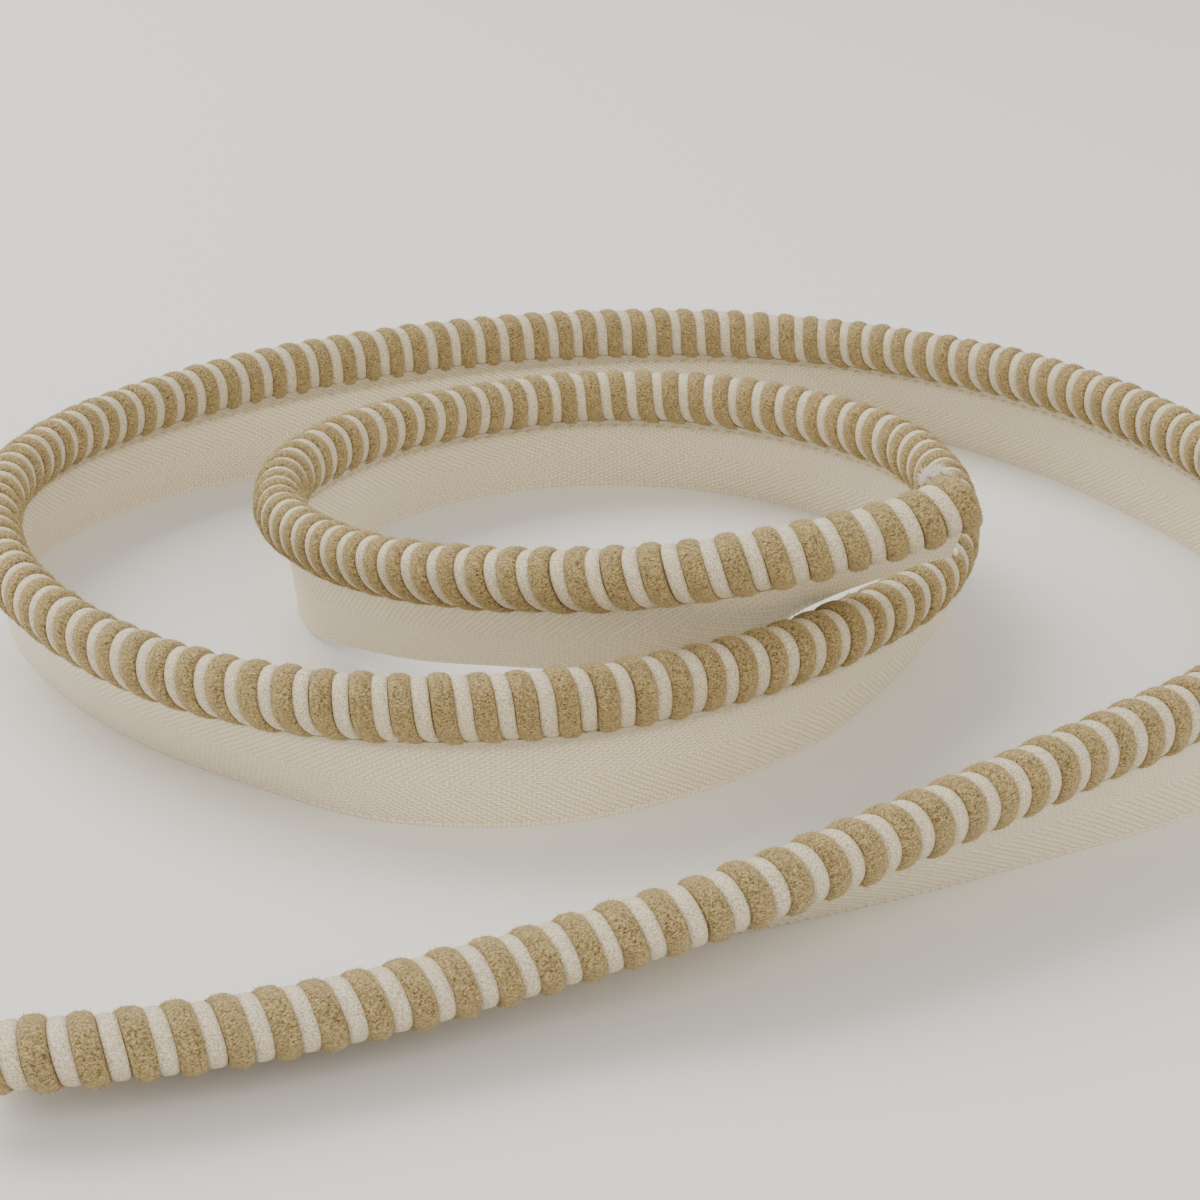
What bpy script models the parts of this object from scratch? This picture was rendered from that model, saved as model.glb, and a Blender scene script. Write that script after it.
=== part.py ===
"""Flanged cord trim, laid down in a loose coil of two turns and a tail.

A round cord, wound with a thick yarn and a thinner one side by side, is sewn along the top of a
woven tape. The trim stands on the tape's lower edge. Its inner end rides up over the second turn,
and its outer end runs off to the front as a tail, where the tape leans over until it is half laid.

Frame: millimetres in the tables, metres in the model, +Z up, the surface it stands on at Z = 0,
and the origin in the middle of the footprint.
"""
import math

import bmesh
import bpy
import numpy as np

MM = 0.001

# Cord
CORD_TALL = 8.0         # over the thick wraps, in line with the tape
CORD_WIDE = 6.6         # over the thick wraps, across the tape
GROOVE = 0.55           # how far the thin wraps lie below the thick ones
PAIR = 4.0              # one thick and one thin wrap, along the cord
RINGS_PER_PAIR = 2      # one ring on the ridge, one in the groove
CORD_SIDES = 8
YARN_COLOUR = (0.47, 0.39, 0.26)

# Tape
TAPE_T = 1.2
EDGE_DROP = 16.3        # from the cord's centre to the tape's lower edge
GAP = 0.35              # between the cord and the top of the tape, at least 0.3 where they bend
TAPE_STEP = 4.0         # between two rows of the tape
TAPE_INSET = 0.5        # the tape is cut this much shorter than the cord at each end
TAPE_COLOUR = (0.72, 0.65, 0.52)

# The route of the cord's centre, from the inner end to the end of the tail.
# x, y: on plan. lean: degrees that the tape leans, its lower edge towards the inside of the coil
# where positive. lift: height of the tape's lower edge above the surface.
ROUTE_COLUMNS = ("x", "y", "lean", "lift")
ROUTE = [
    # inner end, which crosses above the second turn and comes down to the left
    (34.9, -36.0, 45, 22.9),
    (28.5, -38.1, 50, 21.7),
    (19.7, -39.8, 50, 19.7),
    (10.4, -40.6, 43, 16.5),
    (-0.1, -39.2, 36, 13.3),
    (-12.2, -33.7, 36, 10.9),
    (-25.6, -22.8, 35, 7.7),
    (-36.4, -8.1, 27, 3.9),
    (-43.6, 9.0, 13, 0.8),
    # first turn: left, back, right
    (-44.0, 26.1, 2, 0),
    (-36.8, 42.0, -7, 0),
    (-24.6, 55.4, -20, 0),
    (-7.6, 63.7, -21, 0),
    (10.9, 61.6, -18, 0),
    (25.9, 51.8, -14, 0),
    (36.1, 37.5, -10, 0),
    (39.5, 20.5, -3, 0),
    (38.6, 4.5, 12, 0),
    # second turn: front, left, back, and round the right to the front again
    (35.0, -8.8, 21, 0),
    (24.5, -24.9, 18, 0),
    (9.7, -38.5, 16, 0),
    (-8.7, -47.3, 15, 0),
    (-28.9, -47.5, 19, 0),
    (-47.6, -38.6, 26, 0),
    (-62.5, -25.4, 23, 0),
    (-73.0, -9.3, 16, 0),
    (-78.7, 8.0, 5, 0),
    (-79.8, 26.7, -7, 0),
    (-75.5, 44.5, -13, 0),
    (-65.9, 60.1, -14, 0),
    (-52.9, 72.5, -7, 0),
    (-37.9, 82.6, -4, 0),
    (-21.4, 90.5, -7, 0),
    (-3.9, 95.8, -13, 0),
    (14.4, 97.9, -20, 0),
    (32.3, 94.7, -25, 0),
    (46.9, 84.2, -21, 0),
    (58.8, 71.5, -15, 0),
    (68.5, 56.2, -10, 0),
    (75.3, 39.4, -9, 0),
    (79.2, 21.3, -8, 0),
    (79.9, 2.5, -5, 0),
    (76.6, -16.4, 0, 0),
    (69.1, -33.1, 4, 0),
    # tail, which rolls over until it lies on its side
    (58.5, -46.2, 14, 0),
    (43.9, -57.7, 24, 0),
    (27.0, -69.6, 35, 0),
    (9.3, -79.7, 48, 0),
    (-9.0, -86.0, 61, 0),
    (-28.9, -94.1, 66, 0),
    (-47.7, -100.0, 65, 0),
    (-58.2, -100.8, 66, 0),
]


def smooth_route():
    """The table as a dense smooth curve, with the distance along it and the frame at each point."""
    rows = np.array(ROUTE, dtype=float)
    steps = np.sqrt(np.hypot(*np.diff(rows[:, :2], axis=0).T))
    knots = np.concatenate([[0.0], np.cumsum(steps)])
    slopes = np.gradient(rows, knots, axis=0)
    dense = []
    for i in range(len(rows) - 1):
        u = np.linspace(0.0, 1.0, 40, endpoint=False)[:, None]
        width = knots[i + 1] - knots[i]
        dense.append((1 - 3 * u**2 + 2 * u**3) * rows[i] + (u - 2 * u**2 + u**3) * width * slopes[i]
                     + (3 * u**2 - 2 * u**3) * rows[i + 1] + (u**3 - u**2) * width * slopes[i + 1])
    x, y, lean, lift = np.vstack(dense + [rows[-1:]]).T
    lean = np.radians(lean)
    lift = np.maximum(lift, 0.0)
    centre = np.stack([x, y, lift + EDGE_DROP * np.cos(lean)], axis=1)
    run = np.concatenate([[0.0], np.cumsum(np.linalg.norm(np.diff(centre, axis=0), axis=1))])
    return {"run": run, "centre": centre, "lean": lean, "lift": lift}


def at(route, s):
    """Centre, inward side, upward normal, lean and lift at distances s along the cord."""
    def read(values, where):
        return np.stack([np.interp(where, route["run"], column) for column in values.T], axis=1)

    s = np.atleast_1d(s)
    tangent = read(route["centre"], s + 0.8) - read(route["centre"], s - 0.8)
    tangent /= np.linalg.norm(tangent, axis=1)[:, None]
    inward = np.stack([tangent[:, 1], -tangent[:, 0], np.zeros(len(s))], axis=1)
    inward /= np.linalg.norm(inward, axis=1)[:, None]
    upward = np.cross(inward, tangent)
    return {"centre": read(route["centre"], s), "inward": inward, "upward": upward,
            "lean": np.interp(s, route["run"], route["lean"]),
            "lift": np.interp(s, route["run"], route["lift"])}


def material(name, colour, roughness):
    made = bpy.data.materials.new(name)
    made.use_nodes = True
    shader = made.node_tree.nodes["Principled BSDF"]
    shader.inputs["Base Color"].default_value = (*colour, 1.0)
    shader.inputs["Roughness"].default_value = roughness
    shader.inputs["Metallic"].default_value = 0.0
    return made


def solid(name, points, faces, finish, collection):
    mesh = bpy.data.meshes.new(name)
    mesh.from_pydata([tuple(p) for p in points * MM], [], faces)
    shape = bmesh.new()
    shape.from_mesh(mesh)
    bmesh.ops.triangulate(shape, faces=[f for f in shape.faces if len(f.verts) > 3])
    bmesh.ops.recalc_face_normals(shape, faces=shape.faces)
    shape.to_mesh(mesh)
    shape.free()
    mesh.materials.append(finish)
    piece = bpy.data.objects.new(name, mesh)
    collection.objects.link(piece)
    return piece


def wound_cord(route, collection):
    """Ribs that run round the cord as one right-handed thread: each ring of points climbs by one
    pair of wraps in a full turn and meets the ring of the next pair."""
    length = route["run"][-1]
    sides = CORD_SIDES
    rings = int((length - PAIR) / PAIR * RINGS_PER_PAIR)
    k, j = np.meshgrid(np.arange(rings), np.arange(sides), indexing="ij")
    s = (k + RINGS_PER_PAIR * j / sides).ravel() * (length - PAIR) / (rings - 1)
    s = np.minimum(s, length)
    sunk = GROOVE * (k.ravel() % RINGS_PER_PAIR)
    turn = 2 * math.pi * j.ravel() / sides
    here = at(route, s)
    lean = here["lean"][:, None]
    outer = -here["inward"] * np.cos(lean) - here["upward"] * np.sin(lean)
    crown = -here["inward"] * np.sin(lean) + here["upward"] * np.cos(lean)
    points = (here["centre"] + outer * ((CORD_WIDE / 2 - sunk) * np.cos(turn))[:, None]
              + crown * ((CORD_TALL / 2 - sunk) * np.sin(turn))[:, None])

    def vertex(ring, side):
        return (ring + RINGS_PER_PAIR * (side // sides)) * sides + side % sides

    faces = []
    for ring in range(rings - 1):
        for side in range(sides):
            if side == sides - 1 and ring + 1 + RINGS_PER_PAIR >= rings:
                continue
            faces.append((vertex(ring, side), vertex(ring + 1, side),
                          vertex(ring + 1, side + 1), vertex(ring, side + 1)))
    start = [vertex(0, side) for side in range(sides)]
    start += [vertex(ring, 0) for ring in range(RINGS_PER_PAIR, 0, -1)]
    end = [vertex(rings - 1, side) for side in range(sides)]
    end += [vertex(rings - 1 - ring, sides - 1) for ring in range(1, RINGS_PER_PAIR + 1)]
    middle = at(route, np.array([PAIR / 2, length - PAIR / 2]))["centre"]
    hub = len(points)
    points = np.vstack([points, middle])
    for loop, centre in ((start, hub), (end, hub + 1)):
        for a, b in zip(loop, loop[1:] + loop[:1]):
            faces.append((centre, a, b))
    return solid("cord", points, faces, material("wound_yarn", YARN_COLOUR, 0.9), collection)


def tape(route, collection):
    """A thin strip from just under the cord to a flat lower edge, leaning as the route says."""
    length = route["run"][-1]
    rows = int(round((length - 2 * TAPE_INSET) / TAPE_STEP)) + 1
    here = at(route, np.linspace(TAPE_INSET, length - TAPE_INSET, rows))
    inward, upward, lean = here["inward"], here["upward"], here["lean"][:, None]
    height = here["centre"][:, 2:3] - here["lift"][:, None]
    down = inward * np.sin(lean) - upward * np.cos(lean)
    face = inward * np.cos(lean) + upward * np.sin(lean)
    top_drop = CORD_TALL / 2 + GAP
    corners = []
    for side, edge in ((1, "top"), (-1, "top"), (-1, "edge"), (1, "edge")):
        half = side * TAPE_T / 2
        drop = top_drop if edge == "top" else (height + half * face[:, 2:3]) / -down[:, 2:3]
        corners.append(here["centre"] + down * drop + face * half)
    count = len(corners)
    points = np.stack(corners, axis=1).reshape(-1, 3)
    faces = [tuple(range(count)), tuple(range((rows - 1) * count, rows * count))]
    for row in range(rows - 1):
        for c in range(count):
            d = (c + 1) % count
            faces.append((row * count + c, row * count + d, (row + 1) * count + d, (row + 1) * count + c))
    return solid("tape", points, faces, material("woven_tape", TAPE_COLOUR, 0.8), collection)


def main():
    for thing in list(bpy.data.objects):
        bpy.data.objects.remove(thing, do_unlink=True)
    collection = bpy.data.collections.new("flanged_cord_trim")
    bpy.context.scene.collection.children.link(collection)
    route = smooth_route()
    wound_cord(route, collection)
    tape(route, collection)


main()
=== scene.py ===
"""Flanged cord trim in a loose coil: a cord wound with a tan and a cream yarn, sewn to a herringbone tape.

Everything is in metres, on the same frame as the CAD model: +Z up, the surface it stands on at Z = 0.
"""
import math

import bmesh
import bpy
import numpy as np
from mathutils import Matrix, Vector


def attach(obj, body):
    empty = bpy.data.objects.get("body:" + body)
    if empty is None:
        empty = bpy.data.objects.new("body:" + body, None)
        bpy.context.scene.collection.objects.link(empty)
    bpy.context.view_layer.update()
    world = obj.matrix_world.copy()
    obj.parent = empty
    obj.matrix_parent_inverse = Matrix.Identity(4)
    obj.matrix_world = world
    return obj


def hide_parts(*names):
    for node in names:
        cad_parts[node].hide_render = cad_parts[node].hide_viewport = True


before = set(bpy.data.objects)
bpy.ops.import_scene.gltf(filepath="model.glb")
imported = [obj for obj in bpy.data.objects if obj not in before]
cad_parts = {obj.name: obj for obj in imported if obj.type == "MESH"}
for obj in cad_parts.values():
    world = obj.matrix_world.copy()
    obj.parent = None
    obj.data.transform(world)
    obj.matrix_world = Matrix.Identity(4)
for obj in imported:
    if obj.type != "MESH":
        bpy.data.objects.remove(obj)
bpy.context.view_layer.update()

MM = 0.001

# Camera
# A short telephoto lens, close above the table, looking down at the coil by about 21 degrees.
CAMERA_PLACE = (-4.3 * MM, -284.2 * MM, 119.1 * MM)
CAMERA_DOWN = math.radians(21.23)
CAMERA_LENS = 75.54         # in mm, on a picture 36 mm wide
camera = bpy.data.objects.new("camera", bpy.data.cameras.new("camera"))
camera.location = CAMERA_PLACE
camera.rotation_euler = (math.pi / 2 - CAMERA_DOWN, 0.0, 0.0)
camera.data.sensor_width = 36.0
camera.data.lens = CAMERA_LENS
camera.data.clip_start = 0.01
bpy.context.scene.collection.objects.link(camera)
bpy.context.scene.camera = camera

# The way the trim lies
# One length of trim, from its raised inner end, through two turns, to a tail that has rolled over.
# The tape hangs from the cord, and its lower edge stands on the table.
# x, y: the cord's centre on plan, in metres. lean: degrees that the tape leans, its lower edge towards
# the inside of the coil where positive. lift: height of the tape's lower edge above the table.
ROUTE = [
    (0.0349, -0.0360, 45, 0.0229), (0.0285, -0.0381, 50, 0.0217), (0.0197, -0.0398, 50, 0.0197),
    (0.0104, -0.0406, 43, 0.0165), (-0.0001, -0.0392, 36, 0.0133), (-0.0122, -0.0337, 36, 0.0109),
    (-0.0256, -0.0228, 35, 0.0077), (-0.0364, -0.0081, 27, 0.0039), (-0.0436, 0.0090, 13, 0.0008),
    (-0.0440, 0.0261, 2, 0), (-0.0368, 0.0420, -7, 0), (-0.0246, 0.0554, -20, 0),
    (-0.0076, 0.0637, -21, 0), (0.0109, 0.0616, -18, 0), (0.0259, 0.0518, -14, 0),
    (0.0361, 0.0375, -10, 0), (0.0395, 0.0205, -3, 0), (0.0386, 0.0045, 12, 0),
    (0.0350, -0.0088, 21, 0), (0.0245, -0.0249, 18, 0), (0.0097, -0.0385, 16, 0),
    (-0.0087, -0.0473, 15, 0), (-0.0289, -0.0475, 19, 0), (-0.0476, -0.0386, 26, 0),
    (-0.0625, -0.0254, 23, 0), (-0.0730, -0.0093, 16, 0), (-0.0787, 0.0080, 5, 0),
    (-0.0798, 0.0267, -7, 0), (-0.0755, 0.0445, -13, 0), (-0.0659, 0.0601, -14, 0),
    (-0.0529, 0.0725, -7, 0), (-0.0379, 0.0826, -4, 0), (-0.0214, 0.0905, -7, 0),
    (-0.0039, 0.0958, -13, 0), (0.0144, 0.0979, -20, 0), (0.0323, 0.0947, -25, 0),
    (0.0469, 0.0842, -21, 0), (0.0588, 0.0715, -15, 0), (0.0685, 0.0562, -10, 0),
    (0.0753, 0.0394, -9, 0), (0.0792, 0.0213, -8, 0), (0.0799, 0.0025, -5, 0),
    (0.0766, -0.0164, 0, 0), (0.0691, -0.0331, 4, 0), (0.0585, -0.0462, 14, 0),
    (0.0439, -0.0577, 24, 0), (0.0270, -0.0696, 35, 0), (0.0093, -0.0797, 48, 0),
    (-0.0090, -0.0860, 61, 0), (-0.0289, -0.0941, 66, 0), (-0.0477, -0.1000, 65, 0),
    (-0.0582, -0.1008, 66, 0),
]
EDGE_DROP = 16.3 * MM       # from the cord's centre to the tape's lower edge
CURVE_POINTS = 40           # on the smooth curve, from one row of the table to the next
HALF_STEP = 0.8 * MM        # the cord's direction is read between points this far to either side
GUIDE_STEP = 1.0 * MM       # between the points that the yarns, stitches and beads are laid along


def smooth_route():
    """The table as a dense smooth curve, with the distance along it."""
    rows = np.array(ROUTE, dtype=float)
    steps = np.sqrt(np.hypot(*np.diff(rows[:, :2], axis=0).T))
    knots = np.concatenate([[0.0], np.cumsum(steps)])
    slopes = np.gradient(rows, knots, axis=0)
    dense = []
    for i in range(len(rows) - 1):
        u = np.linspace(0.0, 1.0, CURVE_POINTS, endpoint=False)[:, None]
        width = knots[i + 1] - knots[i]
        dense.append((1 - 3 * u**2 + 2 * u**3) * rows[i] + (u - 2 * u**2 + u**3) * width * slopes[i]
                     + (3 * u**2 - 2 * u**3) * rows[i + 1] + (u**3 - u**2) * width * slopes[i + 1])
    x, y, lean, lift = np.vstack(dense + [rows[-1:]]).T
    lean = np.radians(lean)
    lift = np.maximum(lift, 0.0)
    centre = np.stack([x, y, lift + EDGE_DROP * np.cos(lean)], axis=1)
    run = np.concatenate([[0.0], np.cumsum(np.linalg.norm(np.diff(centre, axis=0), axis=1))])
    return {"run": run, "centre": centre, "lean": lean, "lift": lift}


def along(route, s):
    """Centre, the cord's outer and crown directions, and the tape's down and face directions, at s."""
    def read(values, where):
        return np.stack([np.interp(where, route["run"], column) for column in values.T], axis=1)

    s = np.atleast_1d(s)
    tangent = read(route["centre"], s + HALF_STEP) - read(route["centre"], s - HALF_STEP)
    tangent /= np.linalg.norm(tangent, axis=1)[:, None]
    inward = np.stack([tangent[:, 1], -tangent[:, 0], np.zeros(len(s))], axis=1)
    inward /= np.linalg.norm(inward, axis=1)[:, None]
    upward = np.cross(inward, tangent)
    lean = np.interp(s, route["run"], route["lean"])[:, None]
    return {"centre": read(route["centre"], s), "lift": np.interp(s, route["run"], route["lift"]),
            "outer": -inward * np.cos(lean) - upward * np.sin(lean),
            "crown": -inward * np.sin(lean) + upward * np.cos(lean),
            "down": inward * np.sin(lean) - upward * np.cos(lean),
            "face": inward * np.cos(lean) + upward * np.sin(lean)}


def mesh_object(name, points, faces, edges=()):
    """An object at the origin with a plain mesh of these points and faces."""
    mesh = bpy.data.meshes.new(name)
    mesh.from_pydata([tuple(p) for p in points], list(edges), faces)
    made = bpy.data.objects.new(name, mesh)
    bpy.context.scene.collection.objects.link(made)
    return made


route = smooth_route()
cord_length = float(route["run"][-1])
line_at = np.linspace(0.0, cord_length, int(cord_length / GUIDE_STEP) + 1)
line = along(route, line_at)
guide = mesh_object("guide", line["centre"], [], [(i, i + 1) for i in range(len(line_at) - 1)])
for name in ("outer", "crown", "down", "face"):
    guide.data.attributes.new(name, "FLOAT_VECTOR", "POINT").data.foreach_set("vector", line[name].ravel())

# Filler cord
# A soft cotton filler, oval in section, under the yarns. It shows only in the creases between the
# wraps and, as white cotton, where the trim is cut.
CORD_TALL = 8.0 * MM        # over the wraps, in line with the tape
CORD_WIDE = 6.6 * MM        # over the wraps, across the tape
FILLER_TALL = 6.7 * MM
FILLER_WIDE = 5.3 * MM
FILLER_SIDES = 20
FILLER_INSET = 1.6 * MM     # it ends this much behind the cut ends of the yarns


def colour(text):
    """An sRGB hex colour as linear RGBA."""
    parts = [int(text[i:i + 2], 16) / 255 for i in (1, 3, 5)]
    return (*[c / 12.92 if c <= 0.04045 else ((c + 0.055) / 1.055) ** 2.4 for c in parts], 1.0)


def add(tree, kind, settings, inputs):
    """Adds a node. A value that is a socket is linked to the input, and any other is set on it."""
    made = tree.nodes.new(kind)
    for name, value in settings.items():
        setattr(made, name, value)
    for socket, value in inputs.items():
        if isinstance(value, bpy.types.NodeSocket):
            tree.links.new(value, made.inputs[socket])
        else:
            made.inputs[socket].default_value = value
    return made.outputs


def new_material(name, roughness, sheen=0.0, specular=0.3):
    """An empty material with the surface's even values, and its tree and shader."""
    made = bpy.data.materials.new(name)
    made.use_nodes = True
    shader = made.node_tree.nodes["Principled BSDF"]
    shader.inputs["Roughness"].default_value = roughness
    shader.inputs["Specular IOR Level"].default_value = specular
    shader.inputs["Sheen Weight"].default_value = sheen
    shader.inputs["Sheen Roughness"].default_value = 0.5
    return made, made.node_tree, shader


def tube_faces(rings, around):
    """The faces of a tube whose points lie in rings, each with this many points around it."""
    return [(k * around + j, k * around + (j + 1) % around,
             (k + 1) * around + (j + 1) % around, (k + 1) * around + j)
            for k in range(rings - 1) for j in range(around)]


def face_outward(piece):
    """Turns the faces of a closed piece outwards."""
    shape = bmesh.new()
    shape.from_mesh(piece.data)
    bmesh.ops.recalc_face_normals(shape, faces=shape.faces)
    shape.to_mesh(piece.data)
    shape.free()


# Unspun cotton: matt and soft, and painted dark as painted shade, because it shows only deep in the shaded
# creases between the wraps.
cotton, tree, shader = new_material("cotton filler", 0.95)
where = add(tree, "ShaderNodeTexCoord", {}, {})["Object"]
fibres = add(tree, "ShaderNodeTexNoise", {}, {"Vector": where, "Scale": 1 / (0.6 * MM), "Detail": 3.0})[0]
tone = add(tree, "ShaderNodeMix", {"data_type": "RGBA"},
           {0: fibres, 6: colour("#4C4029"), 7: colour("#776644")})[2]
tree.links.new(tone, shader.inputs["Base Color"])

ring = 2 * math.pi * np.arange(FILLER_SIDES) / FILLER_SIDES
core = along(route, np.linspace(FILLER_INSET, cord_length - FILLER_INSET, len(line_at)))
points = (core["centre"][:, None] + core["outer"][:, None] * (FILLER_WIDE / 2 * np.cos(ring))[None, :, None]
          + core["crown"][:, None] * (FILLER_TALL / 2 * np.sin(ring))[None, :, None]).reshape(-1, 3)
faces = tube_faces(len(line_at), FILLER_SIDES)
last = (len(line_at) - 1) * FILLER_SIDES
faces += [tuple(range(FILLER_SIDES)), tuple(range(last + FILLER_SIDES - 1, last - 1, -1))]
filler = mesh_object("filler_cord", points, faces)
face_outward(filler)
filler.data.shade_smooth()
filler.data.materials.append(cotton)
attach(filler, "root")
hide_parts("cord")

# Wound yarns
# Two yarns wound side by side round the filler as one right-handed thread: a thick tan one with a
# short nap, and a thinner cream one with hardly any. Pressed together, they are squarer than an oval.
PAIR = 4.0 * MM             # one tan and one cream wrap, along the cord
TAN_WIDE = 2.45 * MM
TAN_THICK = 2.0 * MM
CREAM_WIDE = 1.9 * MM
CREAM_THICK = 1.5 * MM
CREAM_BELOW = 0.30 * MM     # the cream wraps lie this much lower than the tan ones
YARN_INSET = 0.6 * MM       # from the end of the cord to the first wrap's underside
STRAIGHTEN = 0.45 * MM      # how far a wrap is set back on its sides, so that it stands straight
UNEVEN = 0.7                # how much weaker that is towards the cord's top, and stronger under it
WANDER = 0.35 * MM          # no wrap lies quite like the next, by up to about half of this
SQUARE = 3.0                # power of the yarn's section: 2 is an oval, and more is squarer
FIRST_TURN = math.radians(-100)     # round the cord from its outer side, where each yarn starts
STEPS_PER_TURN = 28
YARN_SIDES = 14


def node_tree(name, inputs):
    """A Geometry Nodes tree with named inputs, its input sockets, and its output node."""
    made = bpy.data.node_groups.new(name, "GeometryNodeTree")
    made.interface.new_socket(name="Geometry", in_out="OUTPUT", socket_type="NodeSocketGeometry")
    for label, kind in inputs.items():
        made.interface.new_socket(name=label, in_out="INPUT", socket_type="NodeSocket" + kind)
    return made, made.nodes.new("NodeGroupInput").outputs, made.nodes.new("NodeGroupOutput")


def grow(name, source, group, values):
    """The plain mesh that a tree makes from a copy of the source with these input values."""
    draft = bpy.data.objects.new(name + "_draft", source.data.copy())
    bpy.context.scene.collection.objects.link(draft)
    modifier = draft.modifiers.new("grow", "NODES")
    modifier.node_group = group
    for item in group.interface.items_tree:
        if item.in_out == "INPUT" and item.name in values:
            modifier[item.identifier] = values[item.name]
    draft.update_tag()
    mesh = bpy.data.meshes.new_from_object(draft.evaluated_get(bpy.context.evaluated_depsgraph_get()))
    mesh.name = name
    bpy.data.objects.remove(draft, do_unlink=True)
    made = bpy.data.objects.new(name, mesh)
    bpy.context.scene.collection.objects.link(made)
    return made


winding, given, result = node_tree("wound yarn", {
    "Guide": "Geometry", "Pitch": "Float", "Start": "Float", "Turn": "Float", "Length": "Float",
    "Reach Across": "Float", "Reach Up": "Float", "Width": "Float", "Thickness": "Float",
    "Steps": "Int", "Sides": "Int", "Straighten": "Float", "Wander": "Float", "Seed": "Float",
    "Material": "Material"})
guide_curve = add(winding, "GeometryNodeMeshToCurve", {}, {0: given["Guide"]})[0]
step = add(winding, "ShaderNodeMath", {"operation": "DIVIDE"}, {0: given["Pitch"], 1: given["Steps"]})[0]
count = add(winding, "ShaderNodeMath", {"operation": "DIVIDE"}, {0: given["Length"], 1: step})[0]
thread = add(winding, "GeometryNodeMeshLine", {"mode": "OFFSET"}, {"Count": count})[0]
index = add(winding, "GeometryNodeInputIndex", {}, {})[0]
distance = add(winding, "ShaderNodeMath", {"operation": "MULTIPLY_ADD"},
               {0: index, 1: step, 2: given["Start"]})[0]
turns = add(winding, "ShaderNodeMath", {"operation": "DIVIDE"}, {0: index, 1: given["Steps"]})[0]
angle = add(winding, "ShaderNodeMath", {"operation": "MULTIPLY_ADD"},
            {0: turns, 1: 2 * math.pi, 2: given["Turn"]})[0]
cosine = add(winding, "ShaderNodeMath", {"operation": "COSINE"}, {0: angle})[0]
sine = add(winding, "ShaderNodeMath", {"operation": "SINE"}, {0: angle})[0]
# the wraps stand nearly straight on both sides of the cord, and most of their advance is on its underside
sway = add(winding, "ShaderNodeMath", {"operation": "MULTIPLY_ADD"}, {0: sine, 1: -UNEVEN, 2: 1.0})[0]
sway = add(winding, "ShaderNodeMath", {"operation": "MULTIPLY"}, {0: sway, 1: cosine})[0]
distance = add(winding, "ShaderNodeMath", {"operation": "MULTIPLY_ADD"},
               {0: sway, 1: given["Straighten"], 2: distance})[0]
# no wrap lies quite like the next: it wanders along the cord and stands a little prouder or lower
drift = add(winding, "ShaderNodeCombineXYZ", {}, {0: turns, 1: given["Seed"]})[0]
drift = add(winding, "ShaderNodeTexNoise", {"noise_dimensions": "2D"},
            {"Vector": drift, "Scale": 0.9, "Detail": 1.0})[1]
drift = add(winding, "ShaderNodeVectorMath", {"operation": "SUBTRACT"}, {0: drift, 1: (0.5, 0.5, 0.5)})[0]
drift = add(winding, "ShaderNodeVectorMath", {"operation": "SCALE"},
            {0: drift, "Scale": given["Wander"]})[0]
drift = add(winding, "ShaderNodeSeparateXYZ", {}, {0: drift})
distance = add(winding, "ShaderNodeMath", {"operation": "ADD"}, {0: distance, 1: drift[0]})[0]
distance = add(winding, "ShaderNodeMath", {"operation": "MAXIMUM"}, {0: distance, 1: 0.0})[0]
outer, crown = [
    add(winding, "GeometryNodeInputNamedAttribute", {"data_type": "FLOAT_VECTOR"}, {"Name": name})[0]
    for name in ("outer", "crown")]
outer, crown = [
    add(winding, "GeometryNodeSampleCurve", {"mode": "LENGTH", "data_type": "FLOAT_VECTOR"},
        {"Curves": guide_curve, "Length": distance, "Value": value})
    for value in (outer, crown)]
across = add(winding, "ShaderNodeMath", {"operation": "ADD"}, {0: given["Reach Across"], 1: drift[1]})[0]
upright = add(winding, "ShaderNodeMath", {"operation": "ADD"}, {0: given["Reach Up"], 1: drift[1]})[0]
place = outer["Position"]
normal = None
for axis, share, size, other in ((outer["Value"], cosine, across, upright),
                                 (crown["Value"], sine, upright, across)):
    out = add(winding, "ShaderNodeMath", {"operation": "MULTIPLY"}, {0: share, 1: size})[0]
    out = add(winding, "ShaderNodeVectorMath", {"operation": "SCALE"}, {0: axis, "Scale": out})[0]
    place = add(winding, "ShaderNodeVectorMath", {"operation": "ADD"}, {0: place, 1: out})[0]
    tilt = add(winding, "ShaderNodeMath", {"operation": "MULTIPLY"}, {0: share, 1: other})[0]
    tilt = add(winding, "ShaderNodeVectorMath", {"operation": "SCALE"}, {0: axis, "Scale": tilt})[0]
    if normal is not None:
        tilt = add(winding, "ShaderNodeVectorMath", {"operation": "ADD"}, {0: normal, 1: tilt})[0]
    normal = tilt
normal = add(winding, "ShaderNodeVectorMath", {"operation": "NORMALIZE"}, {0: normal})[0]
thread = add(winding, "GeometryNodeStoreNamedAttribute", {"data_type": "FLOAT_VECTOR", "domain": "POINT"},
             {"Geometry": thread, "Name": "away", "Value": normal})[0]
thread = add(winding, "GeometryNodeSetPosition", {}, {"Geometry": thread, "Position": place})[0]
thread = add(winding, "GeometryNodeMeshToCurve", {}, {0: thread})[0]
parameter = add(winding, "GeometryNodeSplineParameter", {}, {})
thread = add(winding, "GeometryNodeStoreNamedAttribute", {"data_type": "FLOAT", "domain": "POINT"},
             {"Geometry": thread, "Name": "yarn_run", "Value": parameter["Length"]})[0]
away = add(winding, "GeometryNodeInputNamedAttribute", {"data_type": "FLOAT_VECTOR"}, {"Name": "away"})[0]
thread = add(winding, "GeometryNodeSetCurveNormal", {"mode": "FREE"}, {"Curve": thread, "Normal": away})[0]
section = add(winding, "GeometryNodeCurvePrimitiveCircle", {"mode": "RADIUS"},
              {"Resolution": given["Sides"], "Radius": 0.5})[0]
section = add(winding, "GeometryNodeStoreNamedAttribute", {"data_type": "FLOAT", "domain": "POINT"},
              {"Geometry": section, "Name": "yarn_round", "Value": parameter["Factor"]})[0]
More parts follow.
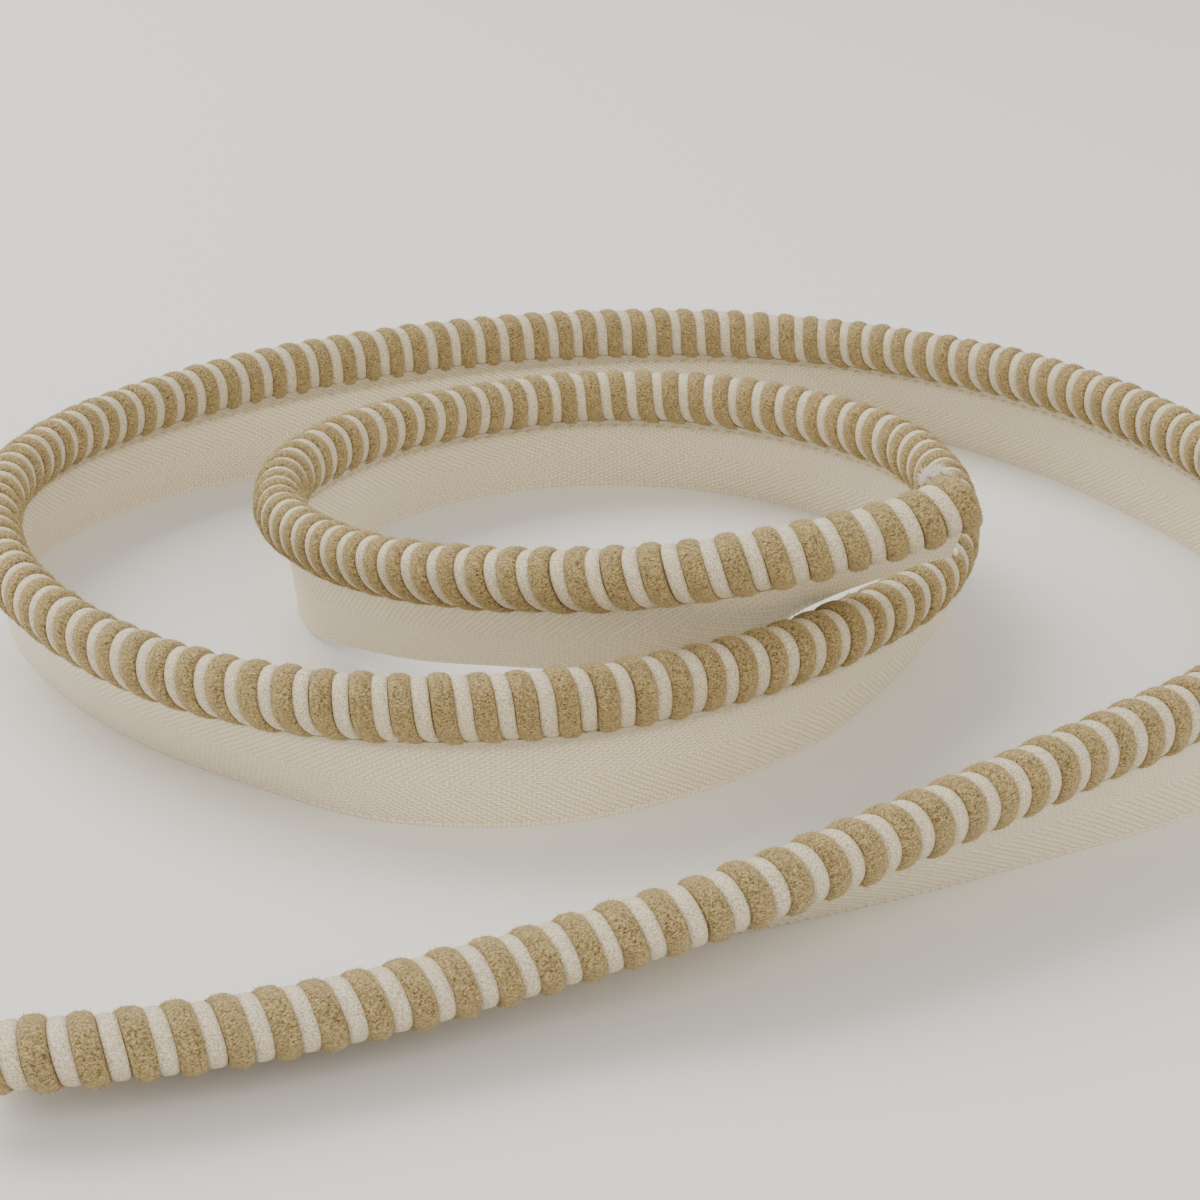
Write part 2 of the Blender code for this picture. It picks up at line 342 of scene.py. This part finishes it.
# pressed by its neighbours, the yarn is squarer in section than an oval
corner = add(winding, "GeometryNodeInputPosition", {}, {})[0]
corner = add(winding, "ShaderNodeVectorMath", {"operation": "SCALE"}, {0: corner, "Scale": 2.0})[0]
corner = add(winding, "ShaderNodeVectorMath", {"operation": "ABSOLUTE"}, {0: corner})[0]
corner = add(winding, "ShaderNodeSeparateXYZ", {}, {0: corner})
powers = [add(winding, "ShaderNodeMath", {"operation": "POWER"}, {0: corner[i], 1: SQUARE})[0]
          for i in (0, 1)]
squash = add(winding, "ShaderNodeMath", {"operation": "ADD"}, {0: powers[0], 1: powers[1]})[0]
squash = add(winding, "ShaderNodeMath", {"operation": "POWER"}, {0: squash, 1: -1.0 / SQUARE})[0]
corner = add(winding, "GeometryNodeInputPosition", {}, {})[0]
corner = add(winding, "ShaderNodeVectorMath", {"operation": "SCALE"}, {0: corner, "Scale": squash})[0]
section = add(winding, "GeometryNodeSetPosition", {}, {"Geometry": section, "Position": corner})[0]
oval = add(winding, "ShaderNodeCombineXYZ", {}, {0: given["Thickness"], 1: given["Width"], 2: 1.0})[0]
section = add(winding, "GeometryNodeTransform", {},
              {"Geometry": section, "Rotation": (0.0, 0.0, math.pi), "Scale": oval})[0]
body = add(winding, "GeometryNodeCurveToMesh", {},
           {"Curve": thread, "Profile Curve": section, "Fill Caps": True})[0]
run, round_ = [add(winding, "GeometryNodeInputNamedAttribute", {"data_type": "FLOAT"}, {"Name": name})[0]
               for name in ("yarn_run", "yarn_round")]
flat = add(winding, "ShaderNodeCombineXYZ", {}, {0: run, 1: round_})[0]
body = add(winding, "GeometryNodeStoreNamedAttribute", {"data_type": "FLOAT2", "domain": "CORNER"},
           {"Geometry": body, "Name": "UVMap", "Value": flat})[0]
body = add(winding, "GeometryNodeSetShadeSmooth", {}, {"Geometry": body})[0]
body = add(winding, "GeometryNodeRealizeInstances", {}, {"Geometry": body})[0]
body = add(winding, "GeometryNodeSetMaterial", {}, {"Geometry": body, "Material": given["Material"]})[0]
winding.links.new(body, result.inputs["Geometry"])

# Spun tan cotton with a nap: matt, speckled by tufts of about 0.15 by 0.3 mm and a finer grain, in
# patches a little lighter or darker. Towards both sides of its section it is painted darker, as painted
# shade down in the creases between the wraps.
tan_yarn, tree, shader = new_material("napped tan cotton yarn", 0.9, sheen=0.45, specular=0.2)
shader.inputs["Sheen Tint"].default_value = colour("#E6CFA0")
uv = add(tree, "ShaderNodeUVMap", {"uv_map": "UVMap"}, {})[0]
where = add(tree, "ShaderNodeTexCoord", {}, {})["Object"]
parts = add(tree, "ShaderNodeSeparateXYZ", {}, {0: uv})
round_ = add(tree, "ShaderNodeMath", {"operation": "MULTIPLY"}, {0: parts[1], 1: 2 * math.pi})[0]
spots = [add(tree, "ShaderNodeMath", {"operation": kind}, {0: round_})[0] for kind in ("COSINE", "SINE")]
spots = [add(tree, "ShaderNodeMath", {"operation": "MULTIPLY"}, {0: spot, 1: 4.0})[0] for spot in spots]
run = add(tree, "ShaderNodeMath", {"operation": "DIVIDE"}, {0: parts[0], 1: 0.15 * MM})[0]
across = add(tree, "ShaderNodeCombineXYZ", {}, {0: run, 1: spots[0], 2: spots[1]})[0]
strands = add(tree, "ShaderNodeTexNoise", {},
              {"Vector": across, "Scale": 1.0, "Detail": 2.0, "Distortion": 0.6})[0]
grain = add(tree, "ShaderNodeTexNoise", {},
            {"Vector": where, "Scale": 1 / (0.14 * MM), "Detail": 3.0, "Roughness": 0.7})[0]
relief = add(tree, "ShaderNodeMath", {"operation": "ADD"}, {0: strands, 1: grain})[0]
ramp = add(tree, "ShaderNodeMapRange", {}, {"Value": relief, "From Min": 0.78, "From Max": 1.24})[0]
tone = add(tree, "ShaderNodeMix", {"data_type": "RGBA"},
           {0: ramp, 6: colour("#554524"), 7: colour("#BFA876")})[2]
blotch = add(tree, "ShaderNodeTexNoise", {}, {"Vector": where, "Scale": 1 / (1.6 * MM), "Detail": 2.0})[0]
blotch = add(tree, "ShaderNodeMapRange", {},
             {"Value": blotch, "From Min": 0.3, "From Max": 0.7, "To Min": 0.86, "To Max": 1.06})[0]
tone = add(tree, "ShaderNodeVectorMath", {"operation": "SCALE"}, {0: tone, "Scale": blotch})[0]
# painted shade: towards both sides of the yarn's section, down in the creases, its colour is darkened
side = add(tree, "ShaderNodeMath", {"operation": "SUBTRACT"}, {0: parts[1], 1: 0.5})[0]
side = add(tree, "ShaderNodeMath", {"operation": "ABSOLUTE"}, {0: side})[0]
painted_crease_shade = add(tree, "ShaderNodeMapRange", {},
             {"Value": side, "From Min": 0.15, "From Max": 0.23, "To Min": 1.0, "To Max": 0.45})[0]
tone = add(tree, "ShaderNodeVectorMath", {"operation": "SCALE"}, {0: tone, "Scale": painted_crease_shade})[0]
tree.links.new(tone, shader.inputs["Base Color"])
bump = add(tree, "ShaderNodeBump", {}, {"Strength": 0.9, "Distance": 0.12 * MM, "Height": relief})[0]
tree.links.new(bump, shader.inputs["Normal"])

# Cream viscose: a paler, closer yarn with a soft shine, hardly any nap and a fine pebbled grain.
cream_yarn, tree, shader = new_material("cream viscose yarn", 0.65, sheen=0.1, specular=0.3)
where = add(tree, "ShaderNodeTexCoord", {}, {})["Object"]
grain = add(tree, "ShaderNodeTexNoise", {}, {"Vector": where, "Scale": 1 / (0.16 * MM), "Detail": 2.0})[0]
ramp = add(tree, "ShaderNodeMapRange", {}, {"Value": grain, "From Min": 0.3, "From Max": 0.7})[0]
tone = add(tree, "ShaderNodeMix", {"data_type": "RGBA"},
           {0: ramp, 6: colour("#988868"), 7: colour("#E6DABE")})[2]
tree.links.new(tone, shader.inputs["Base Color"])
bump = add(tree, "ShaderNodeBump", {}, {"Strength": 0.8, "Distance": 0.09 * MM, "Height": grain})[0]
tree.links.new(bump, shader.inputs["Normal"])

yarn_values = {"Pitch": PAIR, "Turn": FIRST_TURN, "Steps": STEPS_PER_TURN, "Sides": YARN_SIDES,
               "Straighten": STRAIGHTEN, "Wander": WANDER}
tan = grow("tan_yarn", guide, winding, {
    **yarn_values, "Start": YARN_INSET, "Length": cord_length - 2 * YARN_INSET,
    "Width": TAN_WIDE, "Thickness": TAN_THICK, "Seed": 1.0,
    "Reach Across": (CORD_WIDE - TAN_THICK) / 2, "Reach Up": (CORD_TALL - TAN_THICK) / 2,
    "Material": tan_yarn})
cream = grow("cream_yarn", guide, winding, {
    **yarn_values, "Start": YARN_INSET + PAIR / 2, "Length": cord_length - 2 * YARN_INSET - PAIR / 2,
    "Width": CREAM_WIDE, "Thickness": CREAM_THICK, "Seed": 2.0,
    "Reach Across": (CORD_WIDE - CREAM_THICK) / 2 - CREAM_BELOW,
    "Reach Up": (CORD_TALL - CREAM_THICK) / 2 - CREAM_BELOW, "Material": cream_yarn})
for yarn in (tan, cream):
    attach(yarn, "root")

# Nap
# Loose ends of cotton stand out of the tan yarn all round and soften its edge. Where the cord was cut,
# a pinch of white cotton shows behind its first wrap.
FIBRE_LONG = 0.42 * MM
FIBRE_WIDE = 0.055 * MM
FIBRES_PER_MM2 = 3.4
FIBRE_TILT = 0.9            # radians, the most that a fibre leans either way
TUFT_AT = 3                 # steps of the guide from the inner end to the pinch of cotton
TUFT_WIDE = 1.9 * MM
TUFT_STRETCH = 1.5          # its length over its width
TUFT_FIBRE_LONG = 1.1 * MM
TUFT_FIBRE_WIDE = 0.1 * MM
TUFT_FIBRES_PER_MM2 = 60
TUFT_FIBRE_TILT = 1.2
MM2_IN_M2 = 1e6

nap, given, result = node_tree("standing fibres", {
    "Surface": "Geometry", "Per Square Metre": "Float", "Fibre Length": "Float", "Fibre Width": "Float",
    "Tilt": "Float", "Seed": "Int", "Material": "Material"})
away = add(nap, "GeometryNodeInputNamedAttribute", {"data_type": "FLOAT_VECTOR"}, {"Name": "away"})[0]
normal = add(nap, "GeometryNodeInputNormal", {}, {})[0]
facing = add(nap, "ShaderNodeVectorMath", {"operation": "DOT_PRODUCT"}, {0: away, 1: normal})["Value"]
shows = add(nap, "FunctionNodeCompare", {"data_type": "FLOAT", "operation": "GREATER_EQUAL"},
            {0: facing, 1: 0.0})[0]
roots = add(nap, "GeometryNodeDistributePointsOnFaces", {"distribute_method": "RANDOM"}, {
    "Mesh": given["Surface"], "Selection": shows, "Density": given["Per Square Metre"],
    "Seed": given["Seed"]})
fibre = add(nap, "GeometryNodeMeshCone", {"fill_type": "NONE"}, {
    "Vertices": 3, "Radius Top": 0.0, "Radius Bottom": given["Fibre Width"],
    "Depth": given["Fibre Length"]})[0]
back = add(nap, "ShaderNodeMath", {"operation": "MULTIPLY"}, {0: given["Tilt"], 1: -1.0})[0]
least = add(nap, "ShaderNodeCombineXYZ", {}, {0: back, 1: back, 2: 0.0})[0]
most = add(nap, "ShaderNodeCombineXYZ", {}, {0: given["Tilt"], 1: given["Tilt"], 2: 2 * math.pi})[0]
swing = add(nap, "FunctionNodeRandomValue", {"data_type": "FLOAT_VECTOR"},
            {0: least, 1: most, "Seed": given["Seed"]})[0]
swing = add(nap, "FunctionNodeEulerToRotation", {}, {0: swing})[0]
turned = add(nap, "FunctionNodeRotateRotation", {"rotation_space": "LOCAL"},
             {0: roots["Rotation"], 1: swing})[0]
size = add(nap, "FunctionNodeRandomValue", {"data_type": "FLOAT"},
           {2: 0.5, 3: 1.25, "Seed": given["Seed"]})[1]
body = add(nap, "GeometryNodeInstanceOnPoints", {}, {
    "Points": roots["Points"], "Instance": fibre, "Rotation": turned, "Scale": size})[0]
body = add(nap, "GeometryNodeRealizeInstances", {}, {"Geometry": body})[0]
body = add(nap, "GeometryNodeSetMaterial", {}, {"Geometry": body, "Material": given["Material"]})[0]
nap.links.new(body, result.inputs["Geometry"])

# Loose cotton ends: matt, the tan of the yarn they stand in.
tan_fibre, tree, shader = new_material("loose tan cotton fibre", 0.9, sheen=0.2, specular=0.2)
where = add(tree, "ShaderNodeTexCoord", {}, {})["Object"]
grain = add(tree, "ShaderNodeTexNoise", {}, {"Vector": where, "Scale": 1 / (0.5 * MM), "Detail": 2.0})[0]
ramp = add(tree, "ShaderNodeMapRange", {}, {"Value": grain, "From Min": 0.3, "From Max": 0.7})[0]
tone = add(tree, "ShaderNodeMix", {"data_type": "RGBA"},
           {0: ramp, 6: colour("#8E774A"), 7: colour("#D2BB89")})[2]
tree.links.new(tone, shader.inputs["Base Color"])

# White cotton wadding: matt and plain, the palest thing in the trim.
wadding, tree, shader = new_material("white cotton wadding", 0.95, specular=0.1)
shader.inputs["Base Color"].default_value = colour("#E4DFD3")

# the filler's two cut ends show the same white cotton
filler.data.materials.append(wadding)
for cut_end in filler.data.polygons[-2:]:
    cut_end.material_index = 1

fuzz = grow("tan_nap", tan, nap, {
    "Per Square Metre": FIBRES_PER_MM2 * MM2_IN_M2, "Fibre Length": FIBRE_LONG,
    "Fibre Width": FIBRE_WIDE / 2, "Tilt": FIBRE_TILT, "Seed": 3, "Material": tan_fibre})
inner = -line["outer"][TUFT_AT]
shape = bmesh.new()
bmesh.ops.create_icosphere(shape, subdivisions=2, radius=TUFT_WIDE / 2)
pinch = mesh_object("pinch", [], [])
for vertex in shape.verts:
    vertex.co.x *= TUFT_STRETCH
    vertex.co += Vector(line["centre"][TUFT_AT] + inner * CORD_WIDE / 2)
shape.to_mesh(pinch.data)
shape.free()
away = pinch.data.attributes.new("away", "FLOAT_VECTOR", "POINT")
away.data.foreach_set("vector", np.tile(inner, len(pinch.data.vertices)))
tuft = grow("cotton_tuft", pinch, nap, {
    "Per Square Metre": TUFT_FIBRES_PER_MM2 * MM2_IN_M2, "Fibre Length": TUFT_FIBRE_LONG,
    "Fibre Width": TUFT_FIBRE_WIDE / 2, "Tilt": TUFT_FIBRE_TILT, "Seed": 4, "Material": wadding})
bpy.data.objects.remove(pinch, do_unlink=True)
for piece in (fuzz, tuft):
    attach(piece, "root")

# Herringbone tape
# A narrow woven tape, sewn under the cord. Its twill turns once, above the middle, so its floats
# make one row of chevrons. It is satin-bright where they catch the light.
TAPE_T = 0.8 * MM
TAPE_TOP = 2.8 * MM         # its hidden upper edge, below the cord's centre
TAPE_INSET = 0.5 * MM       # cut this much shorter than the cord at each end
TAPE_ROW = 1.2 * MM         # between two rows of its points, along the tape
TAPE_COLUMNS = 16
SPREAD = 4.2 * MM           # its upper edge opens round the underside of the cord, this wide
SPREAD_END = 5.4 * MM       # below the cord's centre, where the two sides have come together
SPREAD_COLUMNS = 6          # of the columns, those where it opens
SPREAD_CURVE = 1.5          # power of the opening: 1 is straight, and more is curved
PRESS = 1.8 * MM            # the raised edge is drawn down this much, on to the wraps below it
PRESS_AT = 23 * MM          # along the tape, where it is drawn down most
PRESS_LENGTH = 9 * MM       # to either side, where it is drawn down about a third as much
EDGE_CLEAR = 0.02 * MM      # the least height above the table of the edge that stands on it
CHEVRON_TIP = 10.0 * MM     # below the cord's centre
PICK = 0.575 * MM           # from one weft thread to the next, along the tape
END = 0.34 * MM             # from one warp thread to the next, down the tape
TWILL = 4                   # threads in one repeat of the twill
SELVEDGE = 0.75 * MM        # the edge without a twill

rows_at = np.linspace(TAPE_INSET, cord_length - TAPE_INSET, int(cord_length / TAPE_ROW))
here = along(route, rows_at)
drops = np.concatenate([np.linspace(TAPE_TOP, SPREAD_END, SPREAD_COLUMNS),
                        np.linspace(SPREAD_END, EDGE_DROP, TAPE_COLUMNS - SPREAD_COLUMNS + 1)[1:]])
spread = np.clip((SPREAD_END - drops) / (SPREAD_END - TAPE_TOP), 0.0, 1.0)
half = TAPE_T / 2 + (SPREAD / 2 - TAPE_T / 2) * spread ** SPREAD_CURVE
press = PRESS * np.exp(-((rows_at - PRESS_AT) / PRESS_LENGTH) ** 2)
layers = []
for side in (1, -1):
    reach = drops[None, :] * (1 + press[:, None] / EDGE_DROP)
    sheet = (here["centre"][:, None] + here["down"][:, None] * reach[:, :, None]
             + here["face"][:, None] * side * half[None, :, None])
    sheet[:, :, 2] = np.maximum(sheet[:, :, 2], here["lift"][:, None] - press[:, None] + EDGE_CLEAR)
    layers.append(sheet)
loop = np.concatenate([layers[0], layers[1][:, ::-1]], axis=1)
loop_uv = np.concatenate([drops, drops[::-1]])
around = loop.shape[1]
faces = tube_faces(len(rows_at), around)
last = (len(rows_at) - 1) * around
for base in (0, last):
    for c in range(TAPE_COLUMNS - 1):
        faces.append((base + c, base + around - 1 - c, base + around - 2 - c, base + c + 1))
tape = mesh_object("herringbone_tape", loop.reshape(-1, 3), faces)
uv_layer = tape.data.uv_layers.new(name="UVMap")
corner = np.zeros(len(tape.data.loops), dtype=np.int32)
tape.data.loops.foreach_get("vertex_index", corner)
unrolled = np.stack([rows_at[corner // around], loop_uv[corner % around]], axis=1)
uv_layer.data.foreach_set("uv", unrolled.ravel())
face_outward(tape)
tape.data.shade_smooth()
tape.data.set_sharp_from_angle(angle=math.radians(50))

# Viscose and cotton twill: satin floats that shine in the light, each over two threads, in slanting
# lines that turn back at the chevron's tip. The floats are painted near white, partly their paler thread
# and partly a painted highlight of their shine. At the top, under the cord, it is painted darker in a
# mottled band, as painted shade.
twill, tree, shader = new_material("herringbone twill", 0.38, sheen=0.1, specular=0.6)
uv = add(tree, "ShaderNodeUVMap", {"uv_map": "UVMap"}, {})[0]
where = add(tree, "ShaderNodeTexCoord", {}, {})["Object"]
parts = add(tree, "ShaderNodeSeparateXYZ", {}, {0: uv})
below = add(tree, "ShaderNodeMath", {"operation": "SUBTRACT"}, {0: parts[1], 1: CHEVRON_TIP})[0]
below = add(tree, "ShaderNodeMath", {"operation": "ABSOLUTE"}, {0: below})[0]
warble = add(tree, "ShaderNodeTexNoise", {}, {"Vector": where, "Scale": 1 / (2.5 * MM), "Detail": 1.0})[0]
lines = add(tree, "ShaderNodeMath", {"operation": "MULTIPLY"},
            {0: parts[0], 1: 2 * math.pi / (TWILL * PICK)})[0]
lines = add(tree, "ShaderNodeMath", {"operation": "MULTIPLY_ADD"},
            {0: below, 1: 2 * math.pi / (TWILL * END), 2: lines})[0]
lines = add(tree, "ShaderNodeMath", {"operation": "MULTIPLY_ADD"}, {0: warble, 1: 1.6, 2: lines})[0]
lines = add(tree, "ShaderNodeMath", {"operation": "SINE"}, {0: lines})[0]
edge = add(tree, "ShaderNodeMapRange", {}, {
    "Value": parts[1], "From Min": EDGE_DROP - SELVEDGE, "From Max": EDGE_DROP - SELVEDGE + 0.1 * MM,
    "To Min": 0.0, "To Max": -2.0})[0]
lines = add(tree, "ShaderNodeMath", {"operation": "ADD"}, {0: lines, 1: edge})[0]
threads = [add(tree, "ShaderNodeMath", {"operation": "MULTIPLY"},
               {0: parts[side], 1: 2 * math.pi / step})[0]
           for side, step in ((0, PICK), (1, END))]
threads = [add(tree, "ShaderNodeMath", {"operation": "COSINE"}, {0: thread})[0] for thread in threads]
threads = [add(tree, "ShaderNodeMath", {"operation": "MULTIPLY_ADD"}, {0: thread, 1: 0.35, 2: 0.65})[0]
           for thread in threads]
warp_up = add(tree, "ShaderNodeMapRange", {}, {"Value": lines, "From Min": -0.1, "From Max": 0.7})[0]
weft_up = add(tree, "ShaderNodeMapRange", {}, {"Value": lines, "From Min": 0.1, "From Max": -0.7})[0]
warp_up = add(tree, "ShaderNodeMath", {"operation": "MULTIPLY"}, {0: warp_up, 1: threads[1]})[0]
weft_up = add(tree, "ShaderNodeMath", {"operation": "MULTIPLY"}, {0: weft_up, 1: threads[0]})[0]
weave = add(tree, "ShaderNodeMath", {"operation": "MULTIPLY_ADD"}, {0: weft_up, 1: 0.7, 2: warp_up})[0]
# the pale floats' near-white tone is partly their paler thread and partly a painted highlight of their
# satin shine
tone = add(tree, "ShaderNodeMix", {"data_type": "RGBA"},
           {0: weave, 6: colour("#D0BB8B"), 7: colour("#FFFAE8")})[2]
# painted shade under the cord: a mottled band at the top of the tape is darkened
shade_under_cord = add(tree, "ShaderNodeTexNoise", {}, {"Vector": where, "Scale": 1 / (0.7 * MM), "Detail": 2.0})[0]
shade_under_cord = add(tree, "ShaderNodeMath", {"operation": "MULTIPLY_ADD"}, {0: shade_under_cord, 1: 1.6 * MM, 2: parts[1]})[0]
shade_under_cord = add(tree, "ShaderNodeMapRange", {},
           {"Value": shade_under_cord, "From Min": 5.4 * MM, "From Max": 6.6 * MM, "To Min": 0.72})[0]
tone = add(tree, "ShaderNodeVectorMath", {"operation": "SCALE"}, {0: tone, "Scale": shade_under_cord})[0]
tree.links.new(tone, shader.inputs["Base Color"])
bump = add(tree, "ShaderNodeBump", {}, {"Strength": 0.9, "Distance": 0.17 * MM, "Height": weave})[0]
tree.links.new(bump, shader.inputs["Normal"])
tape.data.materials.append(twill)
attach(tape, "root")
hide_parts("tape")

# Stitches and selvedge
# A row of thread joins the cord to the tape on its inner side, about two stitches to a pair of wraps.
# Along the lower edge the weft threads turn back in tiny beads, one to every second thread.
STITCH_STEP = 2.05 * MM
STITCH_DROP = 4.7 * MM      # below the cord's centre
STITCH_OUT = 0.3 * MM       # from the face of the tape to the middle of the thread
STITCH_SLANT = math.radians(18)
STITCH = (1.5 * MM, 0.34 * MM, 0.30 * MM)       # along, down and out of the tape
BEAD_STEP = 2 * PICK
BEAD = (0.75 * MM, 0.95 * MM, 1.2 * TAPE_T)     # along, down and through the tape

row, given, result = node_tree("row along the tape", {
    "Guide": "Geometry", "Step": "Float", "Drop": "Float", "Out": "Float", "Size": "Vector",
    "Slant": "Float", "Material": "Material"})
places = add(row, "GeometryNodeMeshToCurve", {}, {0: given["Guide"]})[0]
places = add(row, "GeometryNodeResampleCurve", {"mode": "LENGTH"},
             {"Curve": places, "Length": given["Step"]})[0]
down, face = [add(row, "GeometryNodeInputNamedAttribute", {"data_type": "FLOAT_VECTOR"}, {"Name": name})[0]
              for name in ("down", "face")]
moves = [add(row, "ShaderNodeVectorMath", {"operation": "SCALE"}, {0: axis, "Scale": size})[0]
         for axis, size in ((down, given["Drop"]), (face, given["Out"]))]
move = add(row, "ShaderNodeVectorMath", {"operation": "ADD"}, {0: moves[0], 1: moves[1]})[0]
places = add(row, "GeometryNodeSetPosition", {}, {"Geometry": places, "Offset": move})[0]
turn = add(row, "FunctionNodeAxesToRotation", {"primary_axis": "Z", "secondary_axis": "Y"},
           {0: face, 1: down})[0]
slant = add(row, "ShaderNodeCombineXYZ", {}, {2: given["Slant"]})[0]
slant = add(row, "FunctionNodeEulerToRotation", {}, {0: slant})[0]
turn = add(row, "FunctionNodeRotateRotation", {"rotation_space": "LOCAL"}, {0: turn, 1: slant})[0]
grain_of = add(row, "GeometryNodeMeshIcoSphere", {}, {"Radius": 0.5, "Subdivisions": 2})["Mesh"]
body = add(row, "GeometryNodeInstanceOnPoints", {}, {
    "Points": places, "Instance": grain_of, "Rotation": turn, "Scale": given["Size"]})[0]
body = add(row, "GeometryNodeRealizeInstances", {}, {"Geometry": body})[0]
body = add(row, "GeometryNodeSetShadeSmooth", {}, {"Geometry": body})[0]
body = add(row, "GeometryNodeSetMaterial", {}, {"Geometry": body, "Material": given["Material"]})[0]
row.links.new(body, result.inputs["Geometry"])

# Plain cotton thread: ivory and matt.
thread_cotton, tree, shader = new_material("ivory cotton thread", 0.8, specular=0.2)
shader.inputs["Base Color"].default_value = colour("#E0D6C0")

# The thread of the stitches: the same ivory cotton, painted darker as painted shade, because it lies in the
# cord's shade.
stitch_cotton, tree, shader = new_material("stitch thread in painted shade", 0.9, specular=0.1)
shader.inputs["Base Color"].default_value = colour("#C6B48C")

stitches = grow("stitches", guide, row, {
    "Step": STITCH_STEP, "Drop": STITCH_DROP, "Out": TAPE_T / 2 + STITCH_OUT, "Size": STITCH,
    "Slant": STITCH_SLANT, "Material": stitch_cotton})
beads = grow("selvedge_beads", guide, row, {
    "Step": BEAD_STEP, "Drop": EDGE_DROP - BEAD[1] / 2, "Out": 0.0, "Size": BEAD,
    "Slant": 0.0, "Material": thread_cotton})
for piece in (stitches, beads):
    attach(piece, "root")

# Table and light
# A plain pale table that fills the view, in a pale room. The main light is broad and soft, above and
# behind on the left. Two weaker ones fill the shade, low on the left and in front.
TABLE = 3.0                 # metres, from its middle to each side
table = mesh_object("table", [(x * TABLE, y * TABLE, 0) for x, y in ((-1, -1), (1, -1), (1, 1), (-1, 1))],
                    [(0, 1, 2, 3)])
paper, tree, shader = new_material("matt white paper", 0.9, specular=0.1)
shader.inputs["Base Color"].default_value = colour("#DEDBD6")
table.data.materials.append(paper)

LIGHTS = (  # name, place and size in metres, power in watts, colour
    ("softbox_above", (-0.7, 0.5, 1.1), 1.2, 25.0, "#FFFDF8"),
    ("softbox_left", (-1.1, -0.5, 0.5), 0.9, 3.5, "#FFFBF4"),
    ("softbox_front", (0.35, -0.75, 0.6), 0.7, 6.5, "#FFFAF2"),
)
for name, spot, size, power, tint in LIGHTS:
    lamp = bpy.data.objects.new(name, bpy.data.lights.new(name, "AREA"))
    lamp.data.size = size
    lamp.data.energy = power
    lamp.data.color = colour(tint)[:3]
    lamp.location = spot
    aim = -np.array(spot)       # towards the origin
    lamp.rotation_euler = (math.acos(-aim[2] / np.linalg.norm(aim)), 0.0,
                           math.atan2(aim[1], aim[0]) - math.pi / 2)
    bpy.context.scene.collection.objects.link(lamp)
ROOM_LIGHT = 0.82
world = bpy.data.worlds.new("studio")
world.use_nodes = True
world.node_tree.nodes["Background"].inputs["Color"].default_value = colour("#F2F3F5")
world.node_tree.nodes["Background"].inputs["Strength"].default_value = ROOM_LIGHT
bpy.context.scene.world = world

bpy.data.objects.remove(guide, do_unlink=True)
